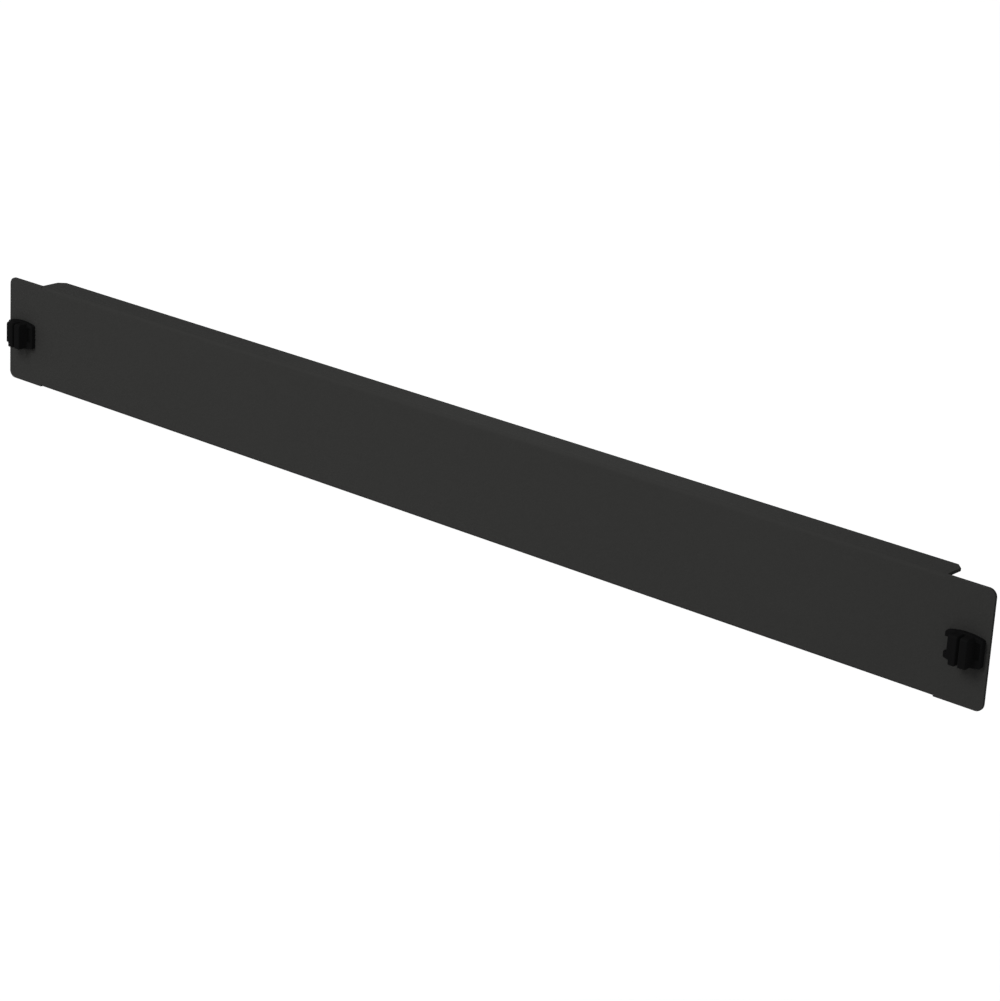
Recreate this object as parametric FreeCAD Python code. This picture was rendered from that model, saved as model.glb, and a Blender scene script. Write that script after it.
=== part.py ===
import FreeCAD, Part
import math
import os

# Blanking panel for a 19 inch rack, one unit high: a folded steel sheet held by
# two moulded snap-in latches, one in each end.
#
# Frame, in millimetres: X runs along the panel, Y into the rack and Z up. The
# origin is midway between the two latches, on the plane where the backs of the
# tabs meet the rack's rails. The shapes are drawn with Y = 0 at the front face
# and Z = 0 at the bottom edge, and moved to that origin at the end.

# ---- sheet-metal panel ----
panel_width = 482.6         # 19 inches over both ends
panel_height = 43.7         # one 44.45 mm unit less the gap to its neighbours
sheet = 1.2                 # sheet thickness
bend_inside = 0.3           # inside radius of the two long folds
flange_depth = 11.8         # front face to the rear edge of a flange
tab_length = 19.4           # flat end of the face that has no flange
face_corner = 3.0           # corner radius of the face
flange_chamfer = 2.5        # rear corners of the flanges, cut at 45 degrees
edge_round = 0.25           # softened edges of the coated sheet

# ---- places for the latches ----
hole_inset = 8.75           # end of the panel to its latch: 465.1 between the rack's holes
hole_width = 7.4            # slot in each tab that takes a latch's legs
hole_height = 8.2
hole_corner = 0.5
leg_clearance = 0.2         # between a leg and its slot, each side

# ---- head of a latch, in front of the panel ----
head_left = 7.55            # middle of the legs to the -X side of the head
head_right = 7.1            # and to its +X side
head_height = 11.75         # at the middle of its arched top and bottom
arch_radius = 26.0
head_corner = 0.8
head_thickness = 2.0
head_drop = 1.175           # middle of the head, below the middle of the legs
notch_height = 5.35         # open notch in the -X side of the head
notch_depth = 3.25
notch_corner = 0.5
pocket_top = 3.85           # pocket beside the +X ridge, above the middle of the head
pocket_bottom = 2.15        # below the middle of the head
pocket_depth = 1.1
pocket_rim = 0.8            # wall left along the +X side of the pocket
head_edge = 0.35            # rounded front rim

# ---- two finger ridges on the head ----
left_ridge_width = 3.7
right_ridge_width = 3.1
ridge_gap = 1.0             # valley between the ridges
valley_shift = 0.3          # middle of that valley, to the +X side of the legs' middle
ridge_reach = 6.3           # panel face to the front of a ridge
ridge_top = 5.6             # above the middle of the head
ridge_bottom = 5.05         # below the middle of the head
ridge_brow = 1.1            # radius along the top front edge
ridge_step = 1.0            # the lower end of the -X ridge is narrower by this much
ridge_step_height = 1.9     # height of that narrower end
ridge_root = 1.5            # how deep a ridge is rooted in the head
ridge_edge = 0.4            # rounded long edges

# ---- spring legs of a latch, behind its head ----
leg_slot = 4.0              # space between the two legs, where they flex
shoulder_width = 9.0        # over both legs, inside the rack's square hole
shoulder_gap = 0.15         # shoulder to the back of the panel
rail_thickness = 2.3        # thickest rail that the barbs snap behind
barb_width = 11.2           # over both barbs
barb_release = 0.9          # length of the ramp that lets the latch pull out
barb_land = 0.4
barb_lead_in = 3.4          # length of the ramp up to the barb
tip_width = 6.8             # over both tips
leg_root = 1.0              # how deep the legs are rooted in the head

# ---- worked out from the sizes above ----
bend_outside = bend_inside + sheet
half_width = panel_width / 2
flange_half = half_width - tab_length
latch_x = half_width - hole_inset
latch_z = panel_height / 2
head_z = latch_z - head_drop
leg_width = hole_width - 2 * leg_clearance
leg_height = hole_height - 2 * leg_clearance
rack_origin = FreeCAD.Vector(0, sheet, latch_z)

ALONG_X = FreeCAD.Vector(1, 0, 0)
ALONG_Y = FreeCAD.Vector(0, 1, 0)
ALONG_Z = FreeCAD.Vector(0, 0, 1)


def line(start, end):
    """A straight edge between two points."""
    return Part.makeLine(start, end)


def arc(centre, radius, start_angle, end_angle, point):
    """A circular edge, its angles in degrees, in the plane that point() maps to."""
    ends = []
    for angle in (start_angle, (start_angle + end_angle) / 2, end_angle):
        turn = math.radians(angle)
        ends.append(point(centre[0] + radius * math.cos(turn), centre[1] + radius * math.sin(turn)))
    return Part.Arc(*ends).toShape()


def front_point(x, z):
    """A point of the front plane, from its X and Z."""
    return FreeCAD.Vector(x, 0, z)


def side_point(y, z):
    """A point of the X = 0 plane, from its Y and Z."""
    return FreeCAD.Vector(0, y, z)


def plan_point(x, y):
    """A point of the Z = 0 plane, from its X and Y."""
    return FreeCAD.Vector(x, y, 0)


def prism(edges, length):
    """The solid that a closed outline sweeps along a vector."""
    return Part.Face(Part.Wire(edges)).extrude(length)


def polygon_prism(corners, length):
    """The solid that a closed run of corners sweeps along a vector."""
    return Part.Face(Part.makePolygon(corners + corners[:1])).extrude(length)


def round_rectangle(x_low, x_high, z_low, z_high, radius):
    """Edges of a rectangle with rounded corners, in the front plane."""
    centres = (
        (x_high - radius, z_high - radius, 0),
        (x_low + radius, z_high - radius, 90),
        (x_low + radius, z_low + radius, 180),
        (x_high - radius, z_low + radius, 270),
    )
    corners = []
    for x, z, start in centres:
        corners.append(arc((x, z), radius, start, start + 90, front_point))
    edges = []
    for corner, following in zip(corners, corners[1:] + corners[:1]):
        edges.append(corner)
        edges.append(line(corner.lastVertex().Point, following.firstVertex().Point))
    return edges


def channel_section():
    """Edges of the folded sheet's C section, open towards the rear."""
    top_bend = (bend_outside, panel_height - bend_outside)
    low_bend = (bend_outside, bend_outside)
    outer_top = arc(top_bend, bend_outside, 90, 180, side_point)
    outer_low = arc(low_bend, bend_outside, 180, 270, side_point)
    inner_low = arc(low_bend, bend_inside, 270, 180, side_point)
    inner_top = arc(top_bend, bend_inside, 180, 90, side_point)
    low_rear = side_point(flange_depth, 0)
    low_rear_inside = side_point(flange_depth, sheet)
    top_rear_inside = side_point(flange_depth, panel_height - sheet)
    top_rear = side_point(flange_depth, panel_height)
    return [
        line(top_rear, outer_top.firstVertex().Point),
        outer_top,
        line(outer_top.lastVertex().Point, outer_low.firstVertex().Point),
        outer_low,
        line(outer_low.lastVertex().Point, low_rear),
        line(low_rear, low_rear_inside),
        line(low_rear_inside, inner_low.firstVertex().Point),
        inner_low,
        line(inner_low.lastVertex().Point, inner_top.firstVertex().Point),
        inner_top,
        line(inner_top.lastVertex().Point, top_rear_inside),
        line(top_rear_inside, top_rear),
    ]


def flange_plan():
    """The folded stretch seen from above, its two rear corners cut off."""
    side = flange_half
    cut = flange_chamfer
    corners = [
        plan_point(-side, 0),
        plan_point(side, 0),
        plan_point(side, flange_depth - cut),
        plan_point(side - cut, flange_depth),
        plan_point(-side + cut, flange_depth),
        plan_point(-side, flange_depth - cut),
    ]
    return polygon_prism(corners, ALONG_Z * panel_height)


def latch_hole(x):
    """What a latch's legs need cut out of a tab."""
    outline = round_rectangle(
        x - hole_width / 2,
        x + hole_width / 2,
        latch_z - hole_height / 2,
        latch_z + hole_height / 2,
        hole_corner,
    )
    return prism(outline, ALONG_Y * sheet)


def soften(solid, radius, wanted):
    """The solid with a fillet on each edge that wanted() picks."""
    edges = [edge for edge in solid.Edges if wanted(edge)]
    return solid.makeFillet(radius, edges)


def flat_edge(edge):
    """Whether an edge lies in a plane parallel to the face."""
    return edge.BoundBox.YLength < edge_round


def rear_edge(edge):
    """Whether an edge runs along the rear of a flange or along its cut corner."""
    level = edge.BoundBox.ZLength < edge_round
    return level and edge.CenterOfMass.y > flange_depth - flange_chamfer


def make_panel():
    """The folded sheet: a channel whose face runs on past the flanges as two tabs."""
    folded = prism(channel_section(), ALONG_X * (2 * flange_half))
    folded.translate(ALONG_X * -flange_half)
    folded = folded.common(flange_plan())
    folded = soften(folded, edge_round, rear_edge)
    face_outline = round_rectangle(-half_width, half_width, 0, panel_height, face_corner)
    face = prism(face_outline, ALONG_Y * sheet)
    face = soften(face, edge_round, flat_edge)
    middle = Part.makeBox(2 * flange_half, sheet, panel_height, FreeCAD.Vector(-flange_half, 0, 0))
    tabs = face.cut(middle)
    panel = folded.fuse(tabs).removeSplitter()
    for x in (-latch_x, latch_x):
        panel = panel.cut(latch_hole(x))
    return panel


def head_outline():
    """Edges of the head: arched top and bottom, straight sides, a notch in the -X side."""
    root = notch_depth - head_left
    notch = notch_height / 2
    arch_centre = head_height / 2 - arch_radius
    left_shoulder = arch_centre + math.sqrt(arch_radius ** 2 - head_left ** 2)
    right_shoulder = arch_centre + math.sqrt(arch_radius ** 2 - head_right ** 2)
    corners = [
        (-head_left, -left_shoulder),
        (-head_left, -notch),
        (root, -notch),
        (root, notch),
        (-head_left, notch),
        (-head_left, left_shoulder),
    ]
    left = [front_point(x, z) for x, z in corners]
    right_top = front_point(head_right, right_shoulder)
    right_bottom = front_point(head_right, -right_shoulder)
    crown = front_point(0, head_height / 2)
    sole = front_point(0, -head_height / 2)
    edges = [line(right_top, right_bottom)]
    for start, end in zip(left, left[1:]):
        edges.append(line(start, end))
    edges.append(Part.Arc(right_bottom, sole, left[0]).toShape())
    edges.append(Part.Arc(left[-1], crown, right_top).toShape())
    return Part.__sortEdges__(edges)


def make_head():
    """The plate that rests on the panel: rounded rim, open notch and shallow pocket."""
    notch_middle = notch_depth / 2 - head_left
    plate = prism(head_outline(), ALONG_Y * -head_thickness)

    def outer_corner(edge):
        along_depth = edge.BoundBox.YLength > head_thickness / 2
        centre = edge.CenterOfMass
        beside_notch = centre.x < 0 and abs(centre.z) < (notch_height + head_corner) / 2
        return along_depth and not beside_notch

    def notch_root(edge):
        along_depth = edge.BoundBox.YLength > head_thickness / 2
        centre = edge.CenterOfMass
        return along_depth and notch_middle < centre.x < 0

    def front_rim(edge):
        in_front = edge.BoundBox.YMax < -head_thickness / 2
        return in_front

    plate = soften(plate, head_corner, outer_corner)
    plate = soften(plate, notch_corner, notch_root)
    plate = soften(plate, head_edge, front_rim)
    ridge_middle = valley_shift + (ridge_gap + right_ridge_width) / 2
    pocket = prism(
        round_rectangle(
            ridge_middle,
            head_right - pocket_rim,
            -pocket_bottom,
            pocket_top,
            notch_corner,
        ),
        ALONG_Y * -head_thickness,
    )
    pocket.translate(ALONG_Y * (pocket_depth - head_thickness))
    return plate.cut(pocket)


def make_ridge(x_low, width, step):
    """A finger ridge with a rounded brow, its lower end narrower by a step on the -X side."""
    front = -ridge_reach
    rear = ridge_root - head_thickness
    brow = arc((front + ridge_brow, ridge_top - ridge_brow), ridge_brow, 90, 180, side_point)
    top_rear = side_point(rear, ridge_top)
    low_rear = side_point(rear, -ridge_bottom)
    low_front = side_point(front, -ridge_bottom)
    outline = [
        line(low_rear, top_rear),
        line(top_rear, brow.firstVertex().Point),
        brow,
        line(brow.lastVertex().Point, low_front),
        line(low_front, low_rear),
    ]
    ridge = prism(outline, ALONG_X * width)
    if step > 0:
        corner = Part.makeBox(step, ridge_reach - head_thickness, ridge_step_height)
        corner.translate(FreeCAD.Vector(0, front, -ridge_bottom))
        ridge = ridge.cut(corner)

    def proud_edge(edge):
        return edge.BoundBox.YMin < -head_thickness - ridge_edge

    ridge = soften(ridge, ridge_edge, proud_edge)
    ridge.translate(ALONG_X * x_low)
    return ridge


def make_leg():
    """The spring leg on the +X side: shank, shoulder, barb and lead-in, seen from above."""
    inner = leg_slot / 2
    shoulder = sheet + shoulder_gap
    release = sheet + rail_thickness
    peak = release + barb_release
    land = peak + barb_land
    tip = land + barb_lead_in
    corners = [
        plan_point(inner, -leg_root),
        plan_point(leg_width / 2, -leg_root),
        plan_point(leg_width / 2, shoulder),
        plan_point(shoulder_width / 2, shoulder),
        plan_point(shoulder_width / 2, release),
        plan_point(barb_width / 2, peak),
        plan_point(barb_width / 2, land),
        plan_point(tip_width / 2, tip),
        plan_point(inner, tip),
    ]
    leg = polygon_prism(corners, ALONG_Z * leg_height)
    leg.translate(ALONG_Z * (-leg_height / 2))
    return leg


def make_latch(x):
    """A whole latch in one moulding, at its place in a tab."""
    latch = make_head()
    right_ridge_x = valley_shift + ridge_gap / 2
    left_ridge_x = valley_shift - ridge_gap / 2 - left_ridge_width
    latch = latch.fuse(make_ridge(right_ridge_x, right_ridge_width, 0))
    latch = latch.fuse(make_ridge(left_ridge_x, left_ridge_width, ridge_step))
    latch.translate(FreeCAD.Vector(0, 0, head_z))
    right_leg = make_leg()
    left_leg = right_leg.mirror(FreeCAD.Vector(0, 0, 0), ALONG_X)
    for leg in (right_leg, left_leg):
        leg.translate(ALONG_Z * latch_z)
        latch = latch.fuse(leg)
    latch = latch.removeSplitter()
    latch.translate(ALONG_X * x)
    return latch


nodes = {
    "panel": make_panel(),
    "left_latch": make_latch(-latch_x),
    "right_latch": make_latch(latch_x),
}

os.makedirs("parts", exist_ok=True)
for name, shape in nodes.items():
    shape.translate(rack_origin * -1)
    print(name, "solids", len(shape.Solids), "valid", shape.isValid(), "volume", round(shape.Volume, 2))
    shape.exportStep("parts/" + name + ".step")
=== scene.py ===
import math

import bpy
import numpy as np
from bpy.props import FloatProperty, FloatVectorProperty, PointerProperty
from bpy.types import Operator, Panel, PropertyGroup
from mathutils import Matrix, Vector

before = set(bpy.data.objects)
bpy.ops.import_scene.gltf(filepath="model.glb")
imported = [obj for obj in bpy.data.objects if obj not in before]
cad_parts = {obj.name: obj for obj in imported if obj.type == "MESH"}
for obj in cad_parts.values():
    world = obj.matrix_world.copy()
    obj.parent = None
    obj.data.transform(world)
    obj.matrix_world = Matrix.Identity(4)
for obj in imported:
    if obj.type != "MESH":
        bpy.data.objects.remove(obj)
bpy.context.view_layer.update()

bl_info = {
    "name": "Rack Blanking Panel Finish",
    "version": (1, 0, 0),
    "blender": (4, 5, 0),
    "location": "3D View > Sidebar > Blanking Panel",
    "description": "Powder coat, moulded latches and a studio stage for a rack blanking panel",
    "category": "Material",
}

MM = 0.001
LATCH_NODES = ("left_latch", "right_latch")
WHITE = (1.0, 1.0, 1.0, 1.0)
NOISE_MIDDLE = 0.5                        # value that a noise swings about

# ---- fixed proportions of the powder coat ----
PEEL_DETAIL = 1.0
GRIT_DETAIL = 2.0
GRIT_HARSHNESS = 0.6                      # how strong the grit's finer grains are
GRIT_SHARE = 0.6                          # height of the grit, where the orange peel is 1
GRIT_DULLING = 0.12                       # how much the grit changes the roughness
DRIFT_SIZE = 90 * MM                      # width of one patch of the slow drift in tone
DRIFT_DETAIL = 3.0

# ---- fixed proportions of the moulded plastic ----
GRAIN_DETAIL = 2.0
GRAIN_HARSHNESS = 0.55                    # how strong its finer grains are
GRAIN_TONE = 0.3                          # how much the grain changes the colour
FLOW_SIZE = 2.2 * MM                      # width of one flow mark
FLOW_LENGTH = 4.0                         # length of one flow mark, in widths
FLOW_DETAIL = 2.0
FLOW_DULLING = 0.18                       # how much a flow mark changes the roughness

# ---- the stage: metres from the origin midway between the latches, and angles in degrees ----
MIDDLE = Vector((0.0, 0.0, 0.0))
FLOOR_ROUGHNESS = 0.9
BRIGHTEST_PATCH = (-0.55, -0.45)          # where the lamps light the floor most
OPEN_SPREAD = 180.0                       # the widest beam, over all that lies before a lamp
KEY_SIZE = 0.5
KEY_PLACE = Vector((-0.15, -0.78, 0.70))
SIDE_SIZE = 1.6
SIDE_PLACE = Vector((-1.9, -1.2, 0.5))
TOP_SIZE = 0.15
TOP_PLACE = Vector((0.045, 0.40, 0.80))
TOP_TARGET = Vector((0.045, 0.0, 0.0))
TOP_SPREAD = 20.0
CAMERA_AIM = Vector((29.65 * MM, 0.0, -4.73 * MM))
CAMERA_DISTANCE = 1137.9 * MM
CAMERA_ANGLES = (39.27, 19.33, 3.42)      # azimuth, elevation and roll
CAMERA_REACH = (0.01, 200.0)              # nearest and furthest distance that the camera sees
SENSOR_WIDTH = 36.0                       # in millimetres


# ---- sizes and colours that a user would change ----

class PanelCoat(PropertyGroup):
    colour: FloatVectorProperty(
        name="Colour", description="Colour of the powder coat", subtype="COLOR",
        size=3, min=0.0, max=1.0, default=(0.0280, 0.0280, 0.0270))
    roughness: FloatProperty(
        name="Roughness", description="How matt the coat is", subtype="FACTOR",
        min=0.0, max=1.0, default=0.7)
    peel_size: FloatProperty(
        name="Peel Size", description="Width of one bump of the coat's orange peel",
        unit="LENGTH", default=0.9 * MM, precision=5)
    grit_size: FloatProperty(
        name="Grit Size", description="Width of one grain of the fine texture",
        unit="LENGTH", default=0.3 * MM, precision=5)
    relief: FloatProperty(
        name="Relief", description="Range of the coat's bump, about three times its real height",
        unit="LENGTH", default=0.11 * MM, precision=6)
    mottle: FloatProperty(
        name="Mottle", description="How much the colour varies over the sheet",
        subtype="FACTOR", min=0.0, max=1.0, default=0.07)
    gloss: FloatProperty(
        name="Gloss", description="How strongly the coat reflects, 0.5 for a plain plastic",
        subtype="FACTOR", min=0.0, max=1.0, default=0.008)


class LatchPlastic(PropertyGroup):
    colour: FloatVectorProperty(
        name="Colour", description="Colour of the moulded plastic", subtype="COLOR",
        size=3, min=0.0, max=1.0, default=(0.0031, 0.0031, 0.0032))
    roughness: FloatProperty(
        name="Roughness", description="How matt the plastic is", subtype="FACTOR",
        min=0.0, max=1.0, default=0.5)
    grain_size: FloatProperty(
        name="Grain Size", description="Width of one grain of the mould's texture",
        unit="LENGTH", default=0.16 * MM, precision=5)
    grain_height: FloatProperty(
        name="Grain Height", description="Height of the mould's texture",
        unit="LENGTH", default=0.006 * MM, precision=6)
    gloss: FloatProperty(
        name="Gloss", description="How strongly the plastic reflects, 0.5 for a plain plastic",
        subtype="FACTOR", min=0.0, max=1.0, default=0.004)
    # Painted light: the plastic glows faintly of its own, though it is no lamp, so its deepest shade
    # never goes fully black.
    painted_glow: FloatProperty(
        name="Painted Glow", description="Faint glow that keeps the deepest shade from going fully black",
        min=0.0, max=1.0, default=0.0018, precision=5)


class Studio(PropertyGroup):
    floor_drop: FloatProperty(
        name="Floor Drop", description="Floor below the middle of the panel",
        unit="LENGTH", default=0.42)
    floor_size: FloatProperty(
        name="Floor Size", description="Width of the floor", unit="LENGTH", default=60.0)
    floor_colour: FloatVectorProperty(
        name="Floor Colour", description="Colour of the floor", subtype="COLOR",
        size=3, min=0.0, max=1.0, default=(0.90, 0.90, 0.90))
    white_near: FloatProperty(
        name="White Near", description="White added to the floor where the lamps light it most",
        min=0.0, default=0.31)
    white_far: FloatProperty(
        name="White Far", description="White added to the floor where the lamps no longer reach",
        min=0.0, default=0.605)
    white_reach: FloatProperty(
        name="White Reach", description="How far from the lamps' brightest patch the added white grows",
        unit="LENGTH", default=2.1)
    room_light: FloatProperty(
        name="Room Light", description="Strength of the even light from all sides",
        min=0.0, default=0.43)
    key_power: FloatProperty(
        name="Key Power", description="Power of the lamp above the left end",
        unit="POWER", default=8.5)
    side_power: FloatProperty(
        name="Side Power", description="Power of the wide lamp at the left",
        unit="POWER", default=9.0)
    top_power: FloatProperty(
        name="Top Power", description="Power of the lamp above and behind the middle",
        unit="POWER", default=0.034)
    lens: FloatProperty(
        name="Lens", description="Focal length on a 36 mm wide sensor, in millimetres",
        unit="CAMERA", default=110.8)


# ---- meshes ----

def flat_square(name, half_size, height):
    """A flat square at z = height that faces up: x and y each run from -half_size to half_size."""
    across = np.array([-half_size, half_size])
    x, y = np.meshgrid(across, across, indexing="ij")
    points = np.stack([x, y, np.full_like(x, height)], axis=-1).reshape(-1, 3)
    mesh = bpy.data.meshes.new(name)
    mesh.from_pydata(points.tolist(), [], [(0, 2, 3, 1)])
    mesh.update()
    square = bpy.data.objects.new(name, mesh)
    bpy.context.scene.collection.objects.link(square)
    return square


# ---- shader building blocks ----

def new_group(name, extras):
    """The tree of a new node group, with its input node and its output node.

    The group takes a place, a colour, a roughness and the extra numbers named, all of which its
    material sets, and puts out a colour, a roughness and a height.
    """
    tree = bpy.data.node_groups.new(name, "ShaderNodeTree")
    surface = [("Colour", "NodeSocketColor"), ("Roughness", "NodeSocketFloat")]
    numbers = [(extra, "NodeSocketFloat") for extra in extras]
    inputs = [("Vector", "NodeSocketVector"), *surface, *numbers]
    outputs = [*surface, ("Height", "NodeSocketFloat")]
    for label, kind in inputs:
        tree.interface.new_socket(name=label, in_out="INPUT", socket_type=kind)
    for label, kind in outputs:
        tree.interface.new_socket(name=label, in_out="OUTPUT", socket_type=kind)
    return tree, tree.nodes.new("NodeGroupInput"), tree.nodes.new("NodeGroupOutput")


def maths(tree, operation, *values):
    """A Math node; each value is a number or the output socket to link."""
    node = tree.nodes.new("ShaderNodeMath")
    node.operation = operation
    for socket, value in zip(node.inputs, values):
        if isinstance(value, bpy.types.NodeSocket):
            tree.links.new(value, socket)
        else:
            socket.default_value = value
    return node.outputs["Value"]


def noise(tree, coordinates, width, detail, harshness=0.5):
    """Noise about NOISE_MIDDLE whose features are about the given width.

    Detail is how many finer layers it has, and harshness is how strong each is next to the last.
    """
    node = tree.nodes.new("ShaderNodeTexNoise")
    node.inputs["Detail"].default_value = detail
    node.inputs["Roughness"].default_value = harshness
    tree.links.new(coordinates, node.inputs["Vector"])
    tree.links.new(maths(tree, "DIVIDE", 1.0, width), node.inputs["Scale"])
    return node.outputs["Fac"]


def swing(tree, value):
    """How far a noise lies above or below its middle."""
    return maths(tree, "SUBTRACT", value, NOISE_MIDDLE)


def tinted(tree, colour, amount):
    """The colour multiplied by a value that changes over the surface."""
    node = tree.nodes.new("ShaderNodeVectorMath")
    node.operation = "SCALE"
    tree.links.new(colour, node.inputs[0])
    tree.links.new(amount, node.inputs["Scale"])
    return node.outputs["Vector"]


def coat_group():
    """Powder coat: soft orange peel under a fine grit, with a slow drift in tone."""
    tree, given, result = new_group("powder_coat_surface", ("Peel Size", "Grit Size", "Mottle"))
    place = given.outputs["Vector"]
    peel = noise(tree, place, given.outputs["Peel Size"], PEEL_DETAIL)
    grit = noise(tree, place, given.outputs["Grit Size"], GRIT_DETAIL, GRIT_HARSHNESS)
    drift = noise(tree, place, DRIFT_SIZE, DRIFT_DETAIL)
    height = maths(tree, "ADD", peel, maths(tree, "MULTIPLY", grit, GRIT_SHARE))
    tone = maths(tree, "ADD", swing(tree, drift), swing(tree, grit))
    tone = maths(tree, "MULTIPLY_ADD", tone, given.outputs["Mottle"], 1.0)
    rough = maths(tree, "MULTIPLY_ADD", swing(tree, grit), GRIT_DULLING, given.outputs["Roughness"])
    tree.links.new(tinted(tree, given.outputs["Colour"], tone), result.inputs["Colour"])
    tree.links.new(rough, result.inputs["Roughness"])
    tree.links.new(height, result.inputs["Height"])
    return tree


def grain_group():
    """Moulded plastic: a fine spark-eroded grain, and faint flow marks along Z."""
    tree, given, result = new_group("moulded_grain", ("Grain Size",))
    place = given.outputs["Vector"]
    stretch = tree.nodes.new("ShaderNodeMapping")
    stretch.inputs["Scale"].default_value = (1.0, 1.0, 1.0 / FLOW_LENGTH)
    tree.links.new(place, stretch.inputs["Vector"])
    grain = noise(tree, place, given.outputs["Grain Size"], GRAIN_DETAIL, GRAIN_HARSHNESS)
    flow = noise(tree, stretch.outputs["Vector"], FLOW_SIZE, FLOW_DETAIL)
    tone = maths(tree, "MULTIPLY_ADD", swing(tree, grain), GRAIN_TONE, 1.0)
    rough = maths(tree, "MULTIPLY_ADD", swing(tree, flow), FLOW_DULLING, given.outputs["Roughness"])
    tree.links.new(tinted(tree, given.outputs["Colour"], tone), result.inputs["Colour"])
    tree.links.new(rough, result.inputs["Roughness"])
    tree.links.new(grain, result.inputs["Height"])
    return tree


def surface_material(name, group, extras, colour, roughness, relief, gloss):
    """A Principled material whose colour, roughness and bump come from a group.

    The extras are the numbers that the group takes, by name, and the relief is the bump's range.
    """
    material = bpy.data.materials.new(name)
    material.use_nodes = True
    tree = material.node_tree
    shader = tree.nodes["Principled BSDF"]
    shader.inputs["Specular IOR Level"].default_value = gloss
    surface = tree.nodes.new("ShaderNodeGroup")
    surface.node_tree = group
    surface.inputs["Colour"].default_value = (*colour, 1.0)
    surface.inputs["Roughness"].default_value = roughness
    for label, value in extras.items():
        surface.inputs[label].default_value = value
    place = tree.nodes.new("ShaderNodeTexCoord")
    bump = tree.nodes.new("ShaderNodeBump")
    bump.inputs["Distance"].default_value = relief
    tree.links.new(place.outputs["Object"], surface.inputs["Vector"])
    tree.links.new(surface.outputs["Height"], bump.inputs["Height"])
    tree.links.new(bump.outputs["Normal"], shader.inputs["Normal"])
    tree.links.new(surface.outputs["Colour"], shader.inputs["Base Color"])
    tree.links.new(surface.outputs["Roughness"], shader.inputs["Roughness"])
    return material


def dress(node_name, material):
    """Puts one material on every slot of a CAD node."""
    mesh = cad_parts[node_name].data
    mesh.materials.clear()
    mesh.materials.append(material)


# ---- the panel and its latches ----

class BLANKING_OT_coat_panel(Operator):
    """Give the folded sheet its powder coat"""
    bl_idname = "blanking.coat_panel"
    bl_label = "Coat Panel"

    def execute(self, context):
        coat = context.scene.panel_coat
        extras = {"Peel Size": coat.peel_size, "Grit Size": coat.grit_size, "Mottle": coat.mottle}
        material = surface_material(
            "powder_coat", coat_group(), extras,
            coat.colour, coat.roughness, coat.relief, coat.gloss)
        dress("panel", material)
        return {"FINISHED"}


class BLANKING_OT_mould_latches(Operator):
    """Give both snap-in latches their moulded black plastic, with a faint painted glow that lifts its
    deepest shade
    """
    bl_idname = "blanking.mould_latches"
    bl_label = "Mould Latches"

    def execute(self, context):
        plastic = context.scene.latch_plastic
        extras = {"Grain Size": plastic.grain_size}
        material = surface_material(
            "latch_plastic", grain_group(), extras,
            plastic.colour, plastic.roughness, plastic.grain_height, plastic.gloss)
        shader = material.node_tree.nodes["Principled BSDF"]
        # Painted light: a faint white glow over all the plastic, lifting its deepest shade; the latches
        # are no lamps.
        shader.inputs["Emission Color"].default_value = WHITE
        shader.inputs["Emission Strength"].default_value = plastic.painted_glow
        for node_name in LATCH_NODES:
            dress(node_name, material)
        return {"FINISHED"}


# ---- the stage ----

def seen_directly(tree):
    """1 for what the camera sees, in reflections and through glass too, and 0 for what gives light."""
    path = tree.nodes.new("ShaderNodeLightPath")
    seen = path.outputs["Is Camera Ray"]
    for ray in ("Is Glossy Ray", "Is Transmission Ray"):
        seen = maths(tree, "MAXIMUM", seen, path.outputs[ray])
    return seen


def growing(tree, centre, reach, near, far):
    """A value that grows smoothly from near, at the centre, to far, at the reach."""
    place = tree.nodes.new("ShaderNodeTexCoord")
    distance = tree.nodes.new("ShaderNodeVectorMath")
    distance.operation = "DISTANCE"
    distance.inputs[1].default_value = centre
    tree.links.new(place.outputs["Object"], distance.inputs[0])
    rise = tree.nodes.new("ShaderNodeMapRange")
    rise.interpolation_type = "SMOOTHSTEP"
    rise.inputs["From Max"].default_value = reach
    rise.inputs["To Min"].default_value = near
    rise.inputs["To Max"].default_value = far
    tree.links.new(distance.outputs["Value"], rise.inputs["Value"])
    return rise.outputs["Result"]


def make_floor(studio):
    """A wide pale floor that looks white: it adds what the lamps leave out, and keeps the shadow."""
    floor = flat_square("floor", studio.floor_size / 2, -studio.floor_drop)
    material = bpy.data.materials.new("pale_floor")
    material.use_nodes = True
    tree = material.node_tree
    shader = tree.nodes["Principled BSDF"]
    shader.inputs["Base Color"].default_value = (*studio.floor_colour, 1.0)
    shader.inputs["Roughness"].default_value = FLOOR_ROUGHNESS
    shader.inputs["Specular IOR Level"].default_value = 0.0
    brightest = (*BRIGHTEST_PATCH, -studio.floor_drop)
    added = growing(tree, brightest, studio.white_reach, studio.white_near, studio.white_far)
    white = tree.nodes.new("ShaderNodeEmission")
    both = tree.nodes.new("ShaderNodeAddShader")
    tree.links.new(maths(tree, "MULTIPLY", added, seen_directly(tree)), white.inputs["Strength"])
    tree.links.new(shader.outputs["BSDF"], both.inputs[0])
    tree.links.new(white.outputs["Emission"], both.inputs[1])
    tree.links.new(both.outputs["Shader"], tree.nodes["Material Output"].inputs["Surface"])
    floor.data.materials.append(material)


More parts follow.
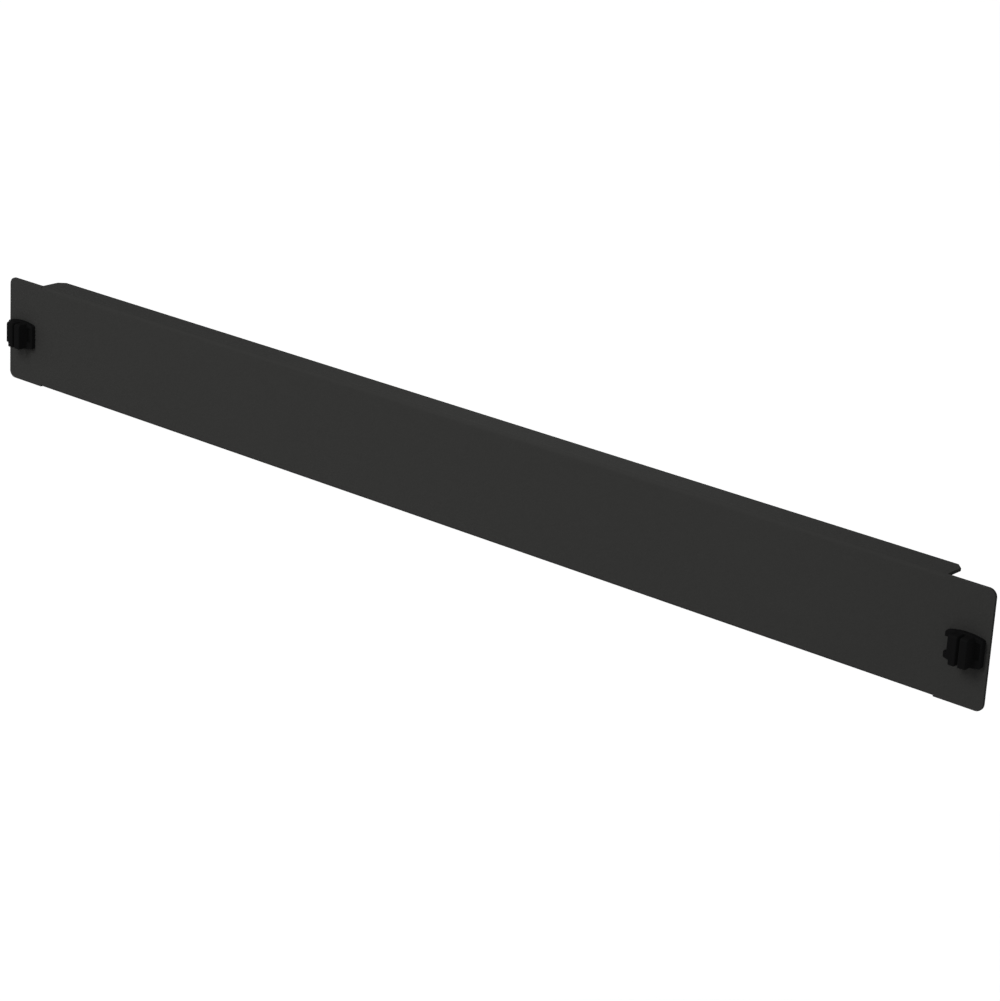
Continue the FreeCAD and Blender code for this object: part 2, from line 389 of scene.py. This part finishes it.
def make_room(studio):
    """Even light from all sides, and white where the camera sees past the floor."""
    world = bpy.data.worlds.new("studio_room")
    bpy.context.scene.world = world
    world.use_nodes = True
    tree = world.node_tree
    light = tree.nodes["Background"]
    light.inputs["Color"].default_value = WHITE
    light.inputs["Strength"].default_value = studio.room_light
    white = tree.nodes.new("ShaderNodeBackground")
    white.inputs["Color"].default_value = WHITE
    mix = tree.nodes.new("ShaderNodeMixShader")
    tree.links.new(seen_directly(tree), mix.inputs["Fac"])
    tree.links.new(light.outputs["Background"], mix.inputs[1])
    tree.links.new(white.outputs["Background"], mix.inputs[2])
    tree.links.new(mix.outputs["Shader"], tree.nodes["World Output"].inputs["Surface"])


def make_lamp(name, power, size, place, target, spread):
    """A square area lamp that faces the target, and whose beam spreads by an angle in degrees."""
    lamp = bpy.data.lights.new(name, "AREA")
    lamp.energy = power
    lamp.size = size
    lamp.spread = math.radians(spread)
    lamp_object = bpy.data.objects.new(name, lamp)
    lamp_object.location = place
    lamp_object.rotation_euler = (target - place).to_track_quat("-Z", "Y").to_euler()
    bpy.context.scene.collection.objects.link(lamp_object)


def make_camera(lens):
    """A camera at the front right, above the panel, turned a little about its own line of sight."""
    azimuth, elevation, roll = (math.radians(angle) for angle in CAMERA_ANGLES)
    back = Vector((
        math.sin(azimuth) * math.cos(elevation),
        -math.cos(azimuth) * math.cos(elevation),
        math.sin(elevation),
    ))
    level = back.to_track_quat("Z", "Y").to_matrix()
    data = bpy.data.cameras.new("studio_camera")
    data.sensor_fit = "HORIZONTAL"
    data.sensor_width = SENSOR_WIDTH
    data.lens = lens
    data.clip_start, data.clip_end = CAMERA_REACH
    camera = bpy.data.objects.new("studio_camera", data)
    camera.location = CAMERA_AIM + CAMERA_DISTANCE * back
    camera.rotation_euler = (level @ Matrix.Rotation(roll, 3, "Z")).to_euler()
    bpy.context.scene.collection.objects.link(camera)
    bpy.context.scene.camera = camera


class BLANKING_OT_set_stage(Operator):
    """Lay the floor, light the room and place the camera"""
    bl_idname = "blanking.set_stage"
    bl_label = "Set Stage"

    def execute(self, context):
        studio = context.scene.studio
        make_floor(studio)
        make_room(studio)
        make_lamp("key_lamp", studio.key_power, KEY_SIZE, KEY_PLACE, MIDDLE, OPEN_SPREAD)
        make_lamp("side_lamp", studio.side_power, SIDE_SIZE, SIDE_PLACE, MIDDLE, OPEN_SPREAD)
        make_lamp("top_lamp", studio.top_power, TOP_SIZE, TOP_PLACE, TOP_TARGET, TOP_SPREAD)
        make_camera(studio.lens)
        context.scene.view_settings.view_transform = "Standard"
        return {"FINISHED"}


class BLANKING_PT_sidebar(Panel):
    """Finishes and stage of the blanking panel"""
    bl_idname = "BLANKING_PT_sidebar"
    bl_label = "Blanking Panel"
    bl_space_type = "VIEW_3D"
    bl_region_type = "UI"
    bl_category = "Blanking Panel"

    def draw(self, context):
        for scene_name, kind, operator in SECTIONS:
            box = self.layout.box()
            settings = getattr(context.scene, scene_name)
            for name in kind.__annotations__:
                box.prop(settings, name)
            box.operator(operator.bl_idname)


# Each section of the sidebar: its name on the scene, its settings and the operator that uses them.
SECTIONS = (
    ("panel_coat", PanelCoat, BLANKING_OT_coat_panel),
    ("latch_plastic", LatchPlastic, BLANKING_OT_mould_latches),
    ("studio", Studio, BLANKING_OT_set_stage),
)


def classes():
    """All classes that Blender has to know, each after the ones that it uses."""
    settings = [kind for _, kind, _ in SECTIONS]
    operators = [operator for _, _, operator in SECTIONS]
    return [*settings, *operators, BLANKING_PT_sidebar]


def register():
    """Makes the classes known and gives each scene its settings."""
    for cls in classes():
        bpy.utils.register_class(cls)
    for scene_name, kind, _ in SECTIONS:
        setattr(bpy.types.Scene, scene_name, PointerProperty(type=kind))


def unregister():
    """Takes back what register did."""
    for scene_name, _, _ in SECTIONS:
        delattr(bpy.types.Scene, scene_name)
    for cls in reversed(classes()):
        bpy.utils.unregister_class(cls)


def main():
    register()
    bpy.ops.blanking.coat_panel()
    bpy.ops.blanking.mould_latches()
    bpy.ops.blanking.set_stage()


if __name__ == "__main__":
    main()
